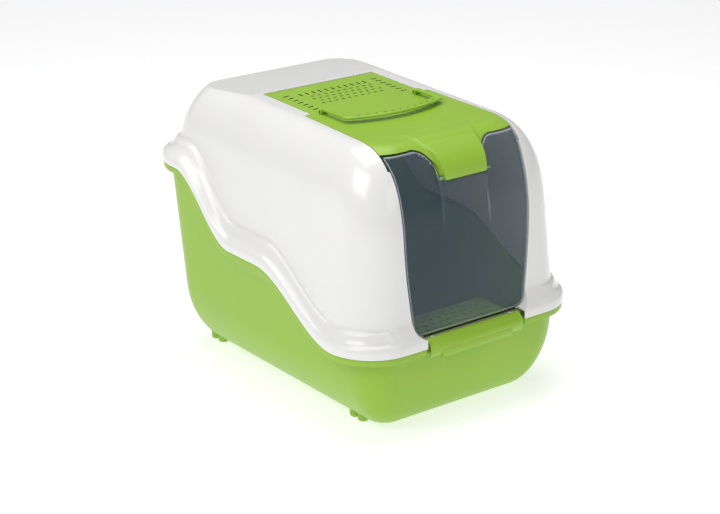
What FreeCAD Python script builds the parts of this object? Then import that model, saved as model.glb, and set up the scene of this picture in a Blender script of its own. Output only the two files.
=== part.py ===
import FreeCAD, Part
import math
import os

Vec = FreeCAD.Vector

# Driving dimensions, mm. Origin: floor level under the middle of the box.
# +Z is up, the entrance faces -Y.
length = 660.0
width = 490.0
height = 500.0

# Sizes below that are multiplied by these keep their share of the overall size
across = width / 490.0
along = length / 660.0
upward = height / 500.0

# Plastic thicknesses and gaps
wall = 2.4
door_wall = 2.2
seam_gap = 0.4
door_gap = 3.0
lid_gap = 1.5
pin_clearance = 0.05

# Rim that parts the tray from the hood: level at the front, at the middle and at the rear
rim_front = 158.0 * upward
rim_middle = 247.0 * upward
rim_rear = 356.0 * upward
front_rise = (-238.0 * along, -28.0 * along)
rear_rise = (57.0 * along, 219.0 * along)
rim_radius_front = 89.0
rim_radius_rear = 100.0
bead_height = 18.0
tray_band = 12.0
latch_proud = 5.0
step_proud = 5.0
step_height = 38.0
step_end = 172.0 * across

# Outside faces of the rim and the roof's level
front_rim = -length / 2 + latch_proud
rear_rim = length / 2
half = width / 2
roof_drop = 10.0
roof = height - roof_drop

# Hood walls: distance in from the rim, lean of the wall, reach of the rounded shoulder
hood_side = (15.0 * across, 34.0 * across, 55.0 * across, 0.70)
hood_front = (19.5, 20.0, 66.0, 0.53)
hood_rear = (19.0, 14.0, 52.0, 0.65)
hood_radius = 78.0
rear_radius_less = 8.0
roof_slope = 0.0234
roof_pivot = -29.0 * along
roof_fall = 0.055

# Tray walls: distance in from the rim at the floor, lean, reach of the rounded bottom edge
tray_side = (39.0 * across, 22.5 * across, 56.0 * across)
tray_front = (25.0, 22.0, 45.0)
tray_rear = (58.0, 33.0, 22.0)
tray_radius = 52.0
tray_floor = 8.0
bottom_share = 0.32

# Feet
foot_x = 152.0 * across
foot_y = (front_rim + 127, rear_rim - 101)
foot_radius = 10.0
foot_spread = 11.0

# Doorway and door
door_bottom = rim_front + 18
door_top = height - 27.5
door_edge = ((118.0, 0.0), (126.5, 0.245), (132.0, 0.478), (133.0, 0.711), (138.0, 1.0))
door_corner = 18.0
doorway_back = front_rim + 175

# Tongue that hangs from the lid, and the door's swing axis
tongue_half = 45.0 * across
tongue_bottom = height - 72.5
tongue_face = front_rim + 36
tongue_bend = front_rim + 82
tongue_hollow = front_rim + 110
tongue_start = front_rim + 132
door_axis = Vec(0, front_rim + 40.5, tongue_bottom + 3.5)
door_pin_radius = 2.2
door_pin_reach = tongue_half + 7.5
band_half = tongue_half + 4.3
band_foot = tongue_bottom - 127.5

# Lid
lid_rear = 119.0 * along
lid_step = -24.0 * along
lid_narrow = 119.0 * across
lid_wide = 133.0 * across
lid_front_half = 140.0 * across
lid_flare_end = front_rim + 80
seat_front = front_rim + 155
barrel_radius = 3.0
hinge_pin_radius = 2.0
hinge_pin_length = 8.0
ledge_width = 7.0

# Vent slots over the filter
slot_length = 13.0
slot_width = 3.4
slot_slant = 10.0
slot_reach = 80.0
ring_half = 70.0 * across
ring_side = 96.0 * across
ring_rear = 84.0 * along
ring_front = -3.0 * along
slot_pitch = 14.0
side_slots = 7
inner_rows = 4
inner_row_pitch = 14.0 * along

# Filter pad and its frame
pad_half = 101.0 * across
pad_depth = 98.0 * along
pad_thick = 8.0
pad_middle = 39.0 * along
frame_wall = 2.0
frame_play = 0.5
frame_bars = 5

# Carry handle
handle_half = 105.0 * across
handle_pivot_x = handle_half - 3
handle_pivot_y = -32.0 * along
handle_corner_y = handle_pivot_y - 69.5
handle_bow = 21.5
handle_bar = 15.0
handle_arm = 9.0
handle_thick = 5.0
handle_pin_radius = 1.8
handle_slots = 11

# Front latch
latch_bay = 107.0 * across
latch_half = latch_bay - 6
latch_axis = Vec(0, front_rim + 14.5, rim_front + 9.5)
latch_barrel = 3.5
latch_wall = 2.6
latch_pin_radius = 2.0
ear_x = latch_half - 19
ear_width = 6.0
grip_half = latch_half - 25

# Step grate inside the entrance
grate_half = 108.0 * across
grate_depth = 86.0
grate_thick = 3.0
grate_hole = 3.5
grate_pitch = 17.0
grate_rows = 5
grate_gap = 9.0
grate_skirt = 10.0

# Reach of cutters and outlines that run right past the box
far = length


def roof_level(y):
    return roof + roof_slope * (y - roof_pivot)


def line(a, b):
    return Part.LineSegment(a, b).toShape()


def spline(points):
    curve = Part.BSplineCurve()
    curve.interpolate(points)
    return curve.toShape()


def polygon(points):
    return Part.Face(Part.makePolygon(points + points[:1]))


def box(x0, x1, y0, y1, z0, z1):
    return Part.makeBox(x1 - x0, y1 - y0, z1 - z0, Vec(x0, y0, z0))


def rod(radius, middle, x0, x1):
    """A cylinder along X through the Y and Z of a point."""
    return Part.makeCylinder(radius, x1 - x0, Vec(x0, middle.y, middle.z), Vec(1, 0, 0))


def both_sides(shape):
    return [shape, shape.mirror(Vec(), Vec(1, 0, 0))]


def fuse(shapes):
    whole = shapes[0].multiFuse(shapes[1:])
    return whole.removeSplitter()


def rounded_wire(a, front, rear, front_radius, rear_radius, z, tilt=0.0):
    """A rectangle with rounded corners, level or tipped about X."""
    edges = []
    corners = (
        (a, front, front_radius, -90),
        (a, rear, rear_radius, 0),
        (-a, rear, rear_radius, 90),
        (-a, front, front_radius, 180),
    )
    arcs = []
    for x, y, r, start in corners:
        cx = x - math.copysign(r, x)
        cy = y + r if start in (-90, 180) else y - r
        spots = [math.radians(start + turn) for turn in (0, 45, 90)]
        arcs.append([Vec(cx + r * math.cos(s), cy + r * math.sin(s), z) for s in spots])
    for n, arc in enumerate(arcs):
        edges.append(line(arcs[n - 1][2], arc[0]))
        edges.append(Part.Arc(*arc).toShape())
    wire = Part.Wire(edges)
    if tilt:
        wire.rotate(Vec(0, roof_pivot, z), Vec(1, 0, 0), math.degrees(tilt))
    return wire


def plan_prism(grow, z0, z1):
    """Upright block with the outline of the rim, larger or smaller by grow."""
    wire = rounded_wire(
        half + grow,
        front_rim - grow,
        rear_rim + grow,
        rim_radius_front + grow,
        rim_radius_rear + grow,
        z0,
    )
    return Part.Face(wire).extrude(Vec(0, 0, z1 - z0))


def rim_line(offset):
    """Edges of the parting line, front to rear, raised by offset: two S-shaped rises."""
    levels = [z + offset for z in (rim_front, rim_middle, rim_rear)]
    edges = []
    y = -far
    for (start, end), low, high in zip((front_rise, rear_rise), levels, levels[1:]):
        edges.append(line(Vec(-far, y, low), Vec(-far, start, low)))
        third = (end - start) / 3
        rise = Part.BezierCurve()
        rise.setPoles([
            Vec(-far, start, low),
            Vec(-far, start + third, low),
            Vec(-far, end - third, high),
            Vec(-far, end, high),
        ])
        edges.append(rise.toShape())
        y = end
    edges.append(line(Vec(-far, y, levels[-1]), Vec(-far, far, levels[-1])))
    return edges


def above_rim(offset):
    """All of the space above the parting line raised by offset."""
    low = rim_line(offset)
    start = low[0].Vertexes[0].Point
    end = low[-1].Vertexes[-1].Point
    top = height + far
    loop = low + [
        line(end, Vec(-far, far, top)),
        line(Vec(-far, far, top), Vec(-far, -far, top)),
        line(Vec(-far, -far, top), start),
    ]
    return Part.Face(Part.Wire(loop)).extrude(Vec(2 * far, 0, 0))


def band(low, high):
    return above_rim(low).cut(above_rim(high))


def shoulder(s, sizes):
    """How far a hood wall has moved in at height share s: lean, then an elliptic shoulder."""
    inset, lean, reach, start = sizes
    u = min(1.0, max(0.0, (s - start) / (1 - start)))
    return inset + lean * s + reach * (1 - math.sqrt(1 - u * u))


def stacked_loft(section, straight, curved):
    """Solid through section(share): ruled over the straight shares, smooth over the curved ones."""
    lower = Part.makeLoft([section(share) for share in straight], True, True)
    upper = Part.makeLoft([section(share) for share in curved], True, False)
    return lower.fuse(upper).removeSplitter()


def hood_form(grow):
    """Solid of the hood's outside, larger or smaller by grow."""

    def section(s):
        u = min(1.0, max(0.0, (s - 0.7) / 0.3))
        radius = hood_radius - 12 * s - 10 * (1 - math.sqrt(1 - u * u)) + grow
        return rounded_wire(
            half - shoulder(s, hood_side) + grow,
            front_rim + shoulder(s, hood_front) - grow,
            rear_rim - shoulder(s, hood_rear) + grow,
            radius,
            radius - rear_radius_less,
            rim_front + s * (roof - rim_front + grow),
            roof_slope * max(0.0, s) ** 6,
        )

    form = stacked_loft(section, (-0.15, 0.5), (0.5, 0.64, 0.75, 0.84, 0.91, 0.96, 0.99, 1.0))
    return form.cut(over_rear_roof(grow))


def over_rear_roof(grow):
    """Space over the part of the roof that falls away behind the lid."""
    start = lid_rear + 8
    low = roof_level(start) + grow
    side = polygon([
        Vec(-far, start, low),
        Vec(-far, far, low - roof_fall * (far - start)),
        Vec(-far, far, low + far),
        Vec(-far, start, low + far),
    ])
    return side.extrude(Vec(2 * far, 0, 0))


def tray_form(grow):
    """Solid of the tray's outside, larger or smaller by grow, with a rounded bottom edge."""
    floor = tray_floor - grow

    def section(t):
        w = max(0.0, 1 - t / bottom_share)
        quarter = 1 - math.sqrt(1 - w * w)
        side = half - tray_side[0] + tray_side[1] * t - tray_side[2] * (w * w + quarter) / 2
        front = front_rim + tray_front[0] - tray_front[1] * t + tray_front[2] * quarter
        rear = rear_rim - tray_rear[0] + tray_rear[1] * t - tray_rear[2] * w ** 3
        radius = tray_radius + 18 * t - 22 * w * w + grow
        z = floor + t * (rim_rear - tray_floor + grow)
        return rounded_wire(side + grow, front - grow, rear + grow, radius, radius, z)

    return stacked_loft(section, (bottom_share, 1.06), (0.0, 0.015, 0.05, 0.11, 0.2, bottom_share))


def door_side(grow):
    """Points up the right-hand edge of the doorway, widened by grow."""
    rise = door_top - door_bottom
    return [Vec(x * across + grow, -far, door_bottom + share * rise) for x, share in door_edge]


def doorway(grow, top):
    """Front outline of the doorway, extruded back through the front wall."""
    side = door_side(grow)
    low = side[0].z - grow
    corner = door_corner + grow
    edge = spline([Vec(side[0].x, -far, low + corner)] + side[1:])
    arc_middle = Vec(
        side[0].x - corner * (1 - math.sqrt(0.5)),
        -far,
        low + corner * (1 - math.sqrt(0.5)),
    )
    foot = Vec(side[0].x - corner, -far, low)
    arc = Part.Arc(foot, arc_middle, Vec(side[0].x, -far, low + corner)).toShape()
    head = side[-1]
    peak = Vec(head.x, -far, top)
    mirror = [e.mirror(Vec(), Vec(1, 0, 0)) for e in (arc, edge)]
    loop = [arc, edge, line(peak, Vec(-peak.x, -far, top)), line(Vec(-foot.x, -far, low), foot)]
    if top > head.z:
        loop += [line(head, peak), line(Vec(-head.x, -far, head.z), Vec(-peak.x, -far, top))]
    wire = Part.Wire(Part.__sortEdges__(loop + mirror))
    return Part.Face(wire).extrude(Vec(0, far + doorway_back, 0))


def tongue_region(gap):
    """Front outline of the lid: everything over the door's top edge and inside the tongue."""
    low = tongue_bottom - gap
    side = [
        Vec(tongue_half + 1 + gap, -far, low + 5),
        Vec(tongue_half + 2 + gap, -far, low + 19),
        Vec(tongue_half + 9 + gap, -far, tongue_bottom + 31 - gap * 0.6),
        Vec(tongue_half + 20 + gap * 0.6, -far, tongue_bottom + 42 - gap),
        Vec(tongue_half + 35, -far, door_top + 2.5 - gap),
    ]
    outer = Vec(half, -far, side[-1].z)
    right = [line(Vec(side[0].x, -far, low), side[0]), spline(side), line(side[-1], outer)]
    right.append(line(outer, Vec(half, -far, height + far)))
    left = [e.mirror(Vec(), Vec(1, 0, 0)) for e in right]
    ends = [
        line(Vec(-side[0].x, -far, low), Vec(side[0].x, -far, low)),
        line(Vec(-half, -far, height + far), Vec(half, -far, height + far)),
    ]
    wire = Part.Wire(Part.__sortEdges__(right + left + ends))
    return Part.Face(wire).extrude(Vec(0, 2 * far, 0))


def lid_plan(grow):
    """Plan outline of the lid, narrow behind the step and wider towards the front."""
    points = [
        Vec(lid_narrow + grow, lid_rear + grow, 0),
        Vec(lid_narrow + grow, lid_step + grow, 0),
        Vec(lid_wide + grow, lid_step + grow, 0),
        Vec(lid_front_half + grow, lid_flare_end, 0),
        Vec(lid_front_half + grow, front_rim, 0),
    ]
    points += [Vec(-p.x, p.y, 0) for p in reversed(points)]
    return polygon(points).extrude(Vec(0, 0, height + far))


def tongue_curve(offset):
    """Side view of the tongue's outside, moved in by offset."""
    return [
        Vec(0, tongue_start + offset * 0.02, roof_level(tongue_start) - offset),
        Vec(0, tongue_bend + offset * 0.4, roof_level(tongue_start) - 5.5 - offset * 0.9),
        Vec(0, tongue_face + 18 + offset * 0.85, tongue_bottom + 32.5 - offset * 0.5),
        Vec(0, tongue_face + offset, tongue_bottom),
    ]


def tongue_strip():
    """The tongue's curved skin and its two cheeks."""
    outer = tongue_curve(0)
    inner = tongue_curve(wall)
    skin = Part.Face(Part.Wire([
        spline(outer),
        line(outer[-1], inner[-1]),
        spline(inner[::-1]),
        line(inner[0], outer[0]),
    ]))
    skin.translate(Vec(-tongue_half, 0, 0))
    back = tongue_face + 22
    under = Vec(0, tongue_start, roof_level(tongue_start) - 14)
    cheek = Part.Face(Part.Wire([
        spline(outer),
        line(outer[-1], Vec(0, back, tongue_bottom)),
        line(Vec(0, back, tongue_bottom), under),
        line(under, outer[0]),
    ]))
    cheek.translate(Vec(tongue_half - wall, 0, 0))
    cheeks = both_sides(cheek.extrude(Vec(wall, 0, 0)))
    return fuse([skin.extrude(Vec(2 * tongue_half, 0, 0))] + cheeks)


def slot(x, y, turn, size):
    """An upright cutter with round ends, long along the turned X axis."""
    radius = slot_width / 2
    reach = size / 2 - radius
    z = roof - slot_reach
    tall = 2 * slot_reach
    bar = box(-reach, reach, -radius, radius, z, z + tall)
    ends = [Part.makeCylinder(radius, tall, Vec(s * reach, 0, z)) for s in (-1, 1)]
    shape = bar.multiFuse(ends)
    shape.rotate(Vec(), Vec(0, 0, 1), turn)
    shape.translate(Vec(x, y, 0))
    return shape


def vent_slots():
    """Cutters for the ring of slots and the rows of short slots inside it."""
    cutters = []
    count = int(ring_half // slot_pitch)
    for n in range(-count, count + 1):
        cutters.append(slot(n * slot_pitch, ring_rear - slot_length / 2, 90, slot_length))
    side_pitch = (ring_rear - ring_front) / (side_slots - 1)
    for n in range(side_slots):
        for side in (-1, 1):
            y = ring_front + n * side_pitch
            cutters.append(slot(side * ring_side, y, -side * slot_slant, slot_length))
    for row in range(1, inner_rows + 1):
        shift = slot_pitch / 2 * (row % 2)
        y = ring_rear - slot_length - row * inner_row_pitch + slot_width
        for n in range(-count, count):
            cutters.append(slot((n + 0.5) * slot_pitch + shift, y, 0, slot_length / 2))
    return cutters


def tray():
    form = tray_form(0)
    below = box(-far, far, -far, far, -far, height + far).cut(above_rim(-seam_gap))
    body = form.common(below)
    shelf = plan_prism(-2, 0, height).common(band(-wall - seam_gap, -seam_gap))
    skirt = plan_prism(-2, 0, height).cut(plan_prism(-2 - wall, 0, height))
    skirt = skirt.common(band(-tray_band, -seam_gap))
    bead = plan_prism(-6, 0, height).cut(plan_prism(-6 - wall, 0, height))
    bead = bead.common(band(-wall, bead_height / 2 - 1))
    bay = latch_bay + 5
    bead = bead.cut(box(-bay, bay, -far, front_rim + 60, 0, height))
    feet = []
    for y in foot_y:
        for side in (-1, 1):
            for lobe in (-1, 1):
                spot = Vec(side * foot_x, y + lobe * foot_spread, 0)
                feet.append(Part.makeCone(foot_radius * 0.85, foot_radius, tray_floor + 14, spot))
    whole = fuse([body, shelf, skirt, bead] + feet)
    lip_front = front_rim + 8
    whole = whole.cut(box(-latch_bay, latch_bay, -far, lip_front, rim_front - 30, rim_front + 30))
    lip = box(
        -latch_bay - wall,
        latch_bay + wall,
        lip_front,
        lip_front + wall,
        rim_front - tray_band,
        rim_front - seam_gap,
    )
    whole = whole.fuse(lip)
    return whole.cut(tray_form(-wall)).removeSplitter()


def hood():
    inside = hood_form(-wall)
    body = hood_form(0).common(above_rim(0))
    shelf = plan_prism(0, 0, height).common(band(bead_height - wall, bead_height))
    skirt = plan_prism(0, 0, height).cut(plan_prism(-wall - 1, 0, height))
    skirt = skirt.common(band(0, bead_height))
    proud = hood_form(step_proud).common(band(bead_height - wall, step_height))
    proud = proud.cut(box(-step_end, step_end, -far, front_rim + 60, 0, height))
    rim = fuse([shelf, skirt])
    bay = box(-latch_bay, latch_bay, -far, front_rim + hood_front[0] - 0.9, 0, height)
    rim = rim.cut(bay)
    end_plate = box(
        latch_bay,
        latch_bay + wall,
        front_rim + 1,
        front_rim + hood_front[0] + wall,
        rim_front,
        rim_front + bead_height,
    )
    whole = fuse([body, rim, proud] + both_sides(end_plate)).cut(inside)
    whole = whole.cut(doorway(door_gap, door_top + door_gap + 4))
    whole = whole.cut(lid_plan(lid_gap).common(box(-far, far, -far, far, door_top - 20, height + far)))
    whole = fuse([whole, sill()] + ledges() + both_sides(hinge_boss()) + latch_ears())
    return whole.cut(Part.makeCompound(both_sides(hinge_hole())))


def sill():
    """Stiffening rib behind the hood's front edge, below the door."""
    front = front_rim + hood_front[0] + 1
    return box(-latch_bay - 8, latch_bay + 8, front, front + 9, rim_front + 1, rim_front + 9)


def on_roof(x0, x1, y0, y1, low, high):
    """Block whose heights are measured down from the sloping roof plane."""
    block = box(x0, x1, y0, y1, roof + low, roof + high)
    block.rotate(Vec(0, roof_pivot, roof), Vec(1, 0, 0), math.degrees(math.atan(roof_slope)))
    return block


def ledges():
    """Ledges under the side edges of the lid that it rests on, held by the roof beside them."""
    low = -2 * wall - seam_gap
    shapes = []
    rows = (
        (lid_narrow, lid_narrow + lid_gap, lid_step + 12, lid_rear - 16),
        (lid_wide, lid_front_half + lid_gap, seat_front, lid_step - 4),
    )
    for edge, opening, y0, y1 in rows:
        seat = on_roof(edge - ledge_width, opening + 6, y0, y1, low, -wall - seam_gap)
        held = on_roof(opening + 0.5, opening + 6, y0, y1, low, -wall / 2)
        shapes += both_sides(seat.fuse(held))
    return shapes


def hinge_axis():
    return Vec(0, lid_rear - barrel_radius, roof_level(lid_rear - barrel_radius) - barrel_radius)


def hinge_boss():
    """Block under the roof for one hinge pin of the lid."""
    axis = hinge_axis()
    x0 = lid_narrow + lid_gap
    return box(x0, x0 + hinge_pin_length + 2, axis.y - 6, axis.y + 6, axis.z - 6, axis.z + 1.5)


def hinge_hole():
    """Blind hole for that pin, through the opening's edge into the block."""
    x0 = lid_narrow + lid_gap
    return rod(hinge_pin_radius + pin_clearance, hinge_axis(), x0 - 1, x0 + hinge_pin_length + 0.5)


def latch_ears():
    """Four ears on the hood's sill that carry the latch's pins."""
    shapes = []
    back = front_rim + hood_front[0] + 1.5
    for x in (ear_x, -ear_x - ear_width):
        disc = rod(latch_barrel, latch_axis, x, x + ear_width)
        arm = box(x, x + ear_width, latch_axis.y, back, latch_axis.z - 3, latch_axis.z + 3)
        hole = rod(latch_pin_radius + pin_clearance, latch_axis, x - 1, x + ear_width + 1)
        shapes.append(disc.fuse(arm).cut(hole))
    return shapes


def top_lid():
    skin = hood_form(0).cut(hood_form(-wall))
    skin = skin.common(lid_plan(0)).common(tongue_region(0))
    axis = hinge_axis()
    skin = skin.cut(box(-far, far, axis.y, far, 0, height + far))
    hollow = tongue_half - wall
    skin = skin.cut(box(-hollow, hollow, -far, tongue_hollow, 0, roof_level(tongue_start) - 4))
    reach = lid_narrow + lid_gap + hinge_pin_length
    barrel = rod(barrel_radius, axis, -lid_narrow, lid_narrow)
    pins = rod(hinge_pin_radius, axis, -reach, reach)
    door_pin = rod(door_pin_radius, door_axis, tongue_half - wall - 2, door_pin_reach)
    whole = fuse([skin, tongue_strip(), barrel, pins] + both_sides(door_pin) + handle_lugs())
    whole = whole.cut(Part.makeCompound(vent_slots()))
    return whole.fuse(filter_clips()).removeSplitter()


def handle_axis():
    return Vec(0, handle_pivot_y, roof_level(handle_pivot_y) + 4.7)


def handle_lugs():
    """Pairs of lugs on the lid that hold the handle's pins."""
    axis = handle_axis()
    low = roof_level(handle_pivot_y) - 2
    shapes = []
    for x in (handle_pivot_x - 7.2, handle_pivot_x + 4.7):
        plate = box(x, x + 2.5, axis.y - 4, axis.y + 4, low, axis.z)
        plate = plate.fuse(rod(4, axis, x, x + 2.5))
        plate = plate.cut(rod(handle_pin_radius + pin_clearance, axis, x - 1, x + 4))
        shapes += both_sides(plate)
    return shapes


def in_filter_place(shape):
    """Tips a level shape to the roof's slope and sets its top under the lid."""
    shape.rotate(Vec(0, pad_middle, 0), Vec(1, 0, 0), math.degrees(math.atan(roof_slope)))
    shape.translate(Vec(0, 0, roof_level(pad_middle) - wall))
    return shape


def carbon_filter():
    y0 = pad_middle - pad_depth / 2
    return in_filter_place(box(-pad_half, pad_half, y0, y0 + pad_depth, -pad_thick - 0.5, -0.5))


def filter_frame():
    """Open-bottomed frame that holds the filter pad against the underside of the lid."""
    a = pad_half + frame_play
    b = pad_depth / 2 + frame_play
    low = -pad_thick - 1
    outer = box(-a - frame_wall, a + frame_wall, -b - frame_wall, b + frame_wall, low - frame_wall, 0)
    shell = outer.cut(box(-a, a, -b, b, low, 1))
    windows = []
    pitch = 2 * a / frame_bars
    for n in range(frame_bars):
        x = -a + n * pitch
        windows.append(box(x + 3, x + pitch - 3, -b + 4, b - 4, low - frame_wall - 1, low + 1))
    shell = shell.cut(Part.makeCompound(windows))
    shell.translate(Vec(0, pad_middle, 0))
    return in_filter_place(shell)


def filter_clips():
    """Snap hooks under the lid that hold the filter frame's ends."""
    a = pad_half + frame_play + frame_wall + 0.2
    drop = pad_thick + 1 + frame_wall + 0.2
    shapes = []
    for y in (pad_middle - 25, pad_middle + 25):
        stem = box(a, a + 2, y - 5, y + 5, -drop - 2, 0.5)
        hook = box(a - 2, a + 2, y - 5, y + 5, -drop - 2, -drop)
        shapes += both_sides(in_filter_place(stem.fuse(hook)))
    return shapes


def carry_handle():
    """Bow-fronted bail that lies on the lid and swings up on two pairs of pins."""
    axis = handle_axis()
    bottom = height - handle_thick
    corner = 9.0

    def outline(inset, arm_inset):
        x = handle_half - arm_inset
        side = handle_corner_y + inset
        bow = Part.Arc(
            Vec(-x + corner, side - 3, bottom),
            Vec(0, side - handle_bow, bottom),
            Vec(x - corner, side - 3, bottom),
        ).toShape()
        bends = []
        for s in (-1, 1):
            bend = Part.BezierCurve()
            bend.setPoles([
                Vec(s * (x - corner), side - 3, bottom),
                Vec(s * x, side - 1, bottom),
                Vec(s * x, side + corner, bottom),
            ])
            bends.append(bend.toShape())
        sides = [line(Vec(s * x, side + corner, bottom), Vec(s * x, axis.y, bottom)) for s in (-1, 1)]
        back = line(Vec(-x, axis.y, bottom), Vec(x, axis.y, bottom))
        wire = Part.Wire(Part.__sortEdges__([bow, back] + bends + sides))
        return Part.Face(wire).extrude(Vec(0, 0, handle_thick))

    bail = outline(0, -0.5).cut(outline(handle_bar, handle_arm))
    bail = bail.cut(box(-far, far, axis.y, far, 0, height))
    arm_out = handle_pivot_x + 4.2
    arm_in = handle_pivot_x - 4.2
    trim = box(arm_out, far, axis.y - 8, axis.y + 1, 0, height + 1)
    bail = bail.cut(Part.makeCompound(both_sides(trim)))
    inner_trim = box(-arm_in, arm_in, axis.y - 8, axis.y + 1, 0, height + 1)
    bail = bail.cut(inner_trim)
    shapes = [bail]
    for shape in (
        rod(4, axis, arm_in, arm_out),
        rod(handle_pin_radius, axis, arm_in - 3, arm_out + 3),
        box(arm_in, arm_out, axis.y - 12, axis.y, axis.z - 1, height - handle_thick + 1),
    ):
        shapes += both_sides(shape)
    whole = fuse(shapes)
    cutters = []
    step = 2 * (handle_half - 25) / (handle_slots - 1)
    for n in range(handle_slots):
        x = -handle_half + 25 + n * step
        bow_share = 1 - (x / (handle_half - corner)) ** 2
        y = handle_corner_y - 3 - (handle_bow - 3) * bow_share + handle_bar * 0.62
        cutters.append(slot(x, y, 0, slot_length * 0.7))
    return whole.cut(Part.makeCompound(cutters))


def band_face(low, high):
    """Side view of the door's raised middle band: upright, so it stands out as the wall leans."""
    share = (low - rim_front) / (roof - rim_front)
    foot = Vec(0, front_rim + hood_front[0] + hood_front[1] * share + 0.4, low)
    head = Vec(0, tongue_face + 0.3, high)
    back = Vec(0, door_wall, 0)
    return foot, head, back


def swing_door():
    skin = hood_form(0).cut(hood_form(-door_wall))
    skin = skin.common(doorway(0, door_top))
    skin = skin.cut(tongue_region(door_gap))
    band_top = tongue_bottom - 4
    skin = skin.cut(box(-band_half, band_half, -far, doorway_back, band_top, height))
    inner_half = band_half - door_wall
    skin = skin.cut(box(-inner_half, inner_half, -far, doorway_back, band_foot + 12, height))
    foot, head, back = band_face(band_foot, band_top)
    strip = polygon([foot, head, head + back, foot + back])
    strip.translate(Vec(-band_half, 0, 0))
    behind = Vec(0, 22, 0)
    cheek = polygon([foot, head, head + behind, foot + back])
    cheek.translate(Vec(inner_half, 0, 0))
    outside = hood_form(-door_wall / 2)
    cheeks = [c.cut(outside) for c in both_sides(cheek.extrude(Vec(door_wall, 0, 0)))]
    ear = rod(5, door_axis, inner_half, band_half)
    ear = ear.fuse(box(inner_half, band_half, door_axis.y, door_axis.y + 17, band_top - 8, door_axis.z + 5))
    ear = ear.fuse(box(inner_half, band_half, head.y, door_axis.y + 1, band_top - 8, door_axis.z - 3))
    ear = ear.cut(hood_form(-door_wall))
    ear = ear.fuse(rod(4.2, door_axis, inner_half, door_pin_reach - 1))
    ear = ear.cut(rod(door_pin_radius + pin_clearance, door_axis, inner_half - 1, door_pin_reach + 2))
    return fuse([skin, strip.extrude(Vec(2 * band_half, 0, 0))] + cheeks + both_sides(ear))


def front_latch():
    """C-shaped cover along the front edge, hung from two ears of the hood."""
    top = Vec(0, latch_axis.y, latch_axis.z + latch_barrel)
    outer = [
        top,
        Vec(0, latch_axis.y - 8.5, latch_axis.z - 1),
        Vec(0, front_rim - 0.5, rim_front + 1),
        Vec(0, front_rim - 2, rim_front - 7),
        Vec(0, front_rim + 4, rim_front - 21.4),
    ]
    inner = [
        Vec(0, latch_axis.y, latch_axis.z + latch_barrel - latch_wall),
        Vec(0, latch_axis.y - 7, latch_axis.z - 3.2),
        Vec(0, front_rim - 0.5 + latch_wall, rim_front - 0.4),
        Vec(0, front_rim - 2 + latch_wall, rim_front - 7),
        Vec(0, front_rim + 4 + latch_wall, rim_front - 20.4),
    ]
    face = Part.Face(Part.Wire([
        spline(outer),
        line(outer[-1], inner[-1]),
        spline(inner[::-1]),
        line(inner[0], outer[0]),
    ]))
    face.translate(Vec(-latch_half, 0, 0))
    cover = face.extrude(Vec(2 * latch_half, 0, 0))
    barrel = rod(latch_barrel, latch_axis, -latch_half, latch_half)
    cover = cover.fuse(barrel)
    for x in (ear_x - 0.8, -ear_x - ear_width - 0.8):
        gap = rod(latch_barrel + 1.2, latch_axis, x, x + ear_width + 1.6)
        cover = cover.cut(gap)
    pins = rod(latch_pin_radius, latch_axis, -latch_half, latch_half)
    y = front_rim + 2.5
    z = rim_front - 20
    grip = Part.makeCylinder(2.4, 2 * grip_half, Vec(-grip_half, y, z), Vec(1, 0, 0))
    ridge = box(-grip_half, grip_half, -length / 2, y, z - 2.4, z + 1.6)
    return fuse([cover, pins, grip, ridge])


def step_grate():
    """Perforated step that stands in the tray on two side panels, just inside the door."""
    y0 = front_rim + hood_front[0] + wall + grate_gap + 3
    y1 = y0 + grate_depth
    top = rim_front + 2
    plate = box(-grate_half, grate_half, y0, y1, top - grate_thick, top)
    skirt = box(-grate_half, grate_half, y0, y1, top - grate_skirt, top)
    skirt = skirt.cut(box(-grate_half + 2, grate_half - 2, y0 + 2, y1 - 2, 0, height))
    floor = tray_floor + wall + seam_gap
    panel = polygon([
        Vec(grate_half - 6, y0 + 2, top - 1),
        Vec(grate_half - 6, y1 - 2, top - 1),
        Vec(grate_half - 6, y1 - 8, floor),
        Vec(grate_half - 6, y0 + 40, floor),
    ]).extrude(Vec(wall, 0, 0))
    shapes = [plate, skirt] + both_sides(panel)
    whole = fuse(shapes)
    holes = []
    row_pitch = (grate_depth - 18) / (grate_rows - 1)
    columns = int((grate_half - 12) // grate_pitch)
    for row in range(grate_rows):
        shift = grate_pitch / 2 * (row % 2)
        for n in range(-columns, columns + 1 - row % 2):
            spot = Vec(n * grate_pitch + shift, y0 + 9 + row * row_pitch, top - 20)
            holes.append(Part.makeCylinder(grate_hole, 40, spot))
    return whole.cut(Part.makeCompound(holes))


pieces = {
    "tray": tray,
    "hood": hood,
    "top_lid": top_lid,
    "carry_handle": carry_handle,
    "swing_door": swing_door,
    "front_latch": front_latch,
    "step_grate": step_grate,
    "filter_frame": filter_frame,
    "carbon_filter": carbon_filter,
}

os.makedirs("parts", exist_ok=True)
for name, make in pieces.items():
    shape = make()
    shape.exportStep("parts/" + name + ".step")
    low, high = shape.BoundBox.ZMin, shape.BoundBox.ZMax
    print(name, len(shape.Solids), shape.isValid(), round(shape.Volume / 1000), round(low, 2), round(high, 2))
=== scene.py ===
import math

import bmesh
import bpy
import numpy as np
from mathutils import Matrix, Vector


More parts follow.
